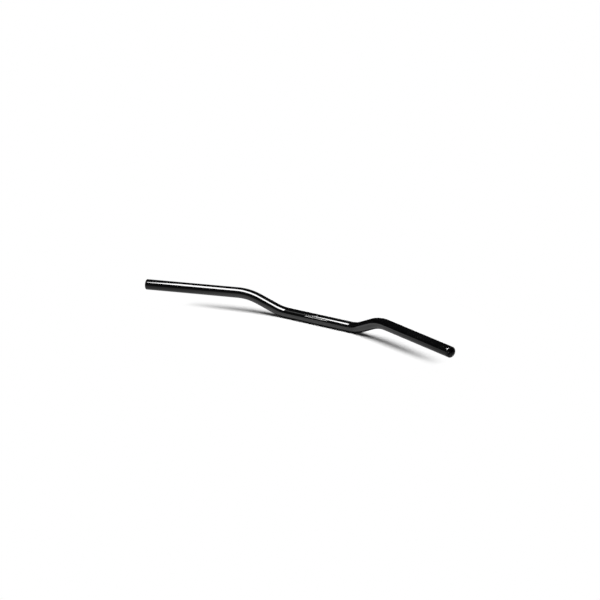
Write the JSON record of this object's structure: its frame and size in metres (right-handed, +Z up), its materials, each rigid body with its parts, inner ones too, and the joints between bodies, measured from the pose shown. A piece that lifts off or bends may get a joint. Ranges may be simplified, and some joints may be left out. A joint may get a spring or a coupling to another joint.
{
  "type": "handlebar",
  "caption": "One-piece bent steel tube handlebar with a straight clamp section, low rise and swept-back ends, each holding a rubber-mounted damping weight.",
  "frame": {"origin": "middle of the clamp seat, on the tube's axis", "axes": "+X along the clamp seat to the rider's right, +Y forward, +Z up; the grips sweep back towards -Y and stand above the clamp seat"},
  "size_m": [0.7864, 0.1129, 0.0522],
  "materials": {
    "bar_paint": "gloss black stoved paint over steel",
    "weight_steel": "turned steel, blackened and oiled",
    "cushion_rubber": "matte moulded rubber",
    "retainer_steel": "blackened spring steel"
  },
  "bodies": {
    "root": {"bar_tube": "bar_paint", "inner_weight_left": "weight_steel", "outer_cushion_left": "cushion_rubber", "inner_cushion_left": "cushion_rubber", "weight_retainer_left": "retainer_steel", "inner_weight_right": "weight_steel", "outer_cushion_right": "cushion_rubber", "inner_cushion_right": "cushion_rubber", "weight_retainer_right": "retainer_steel"}
  },
  "joints": []
}
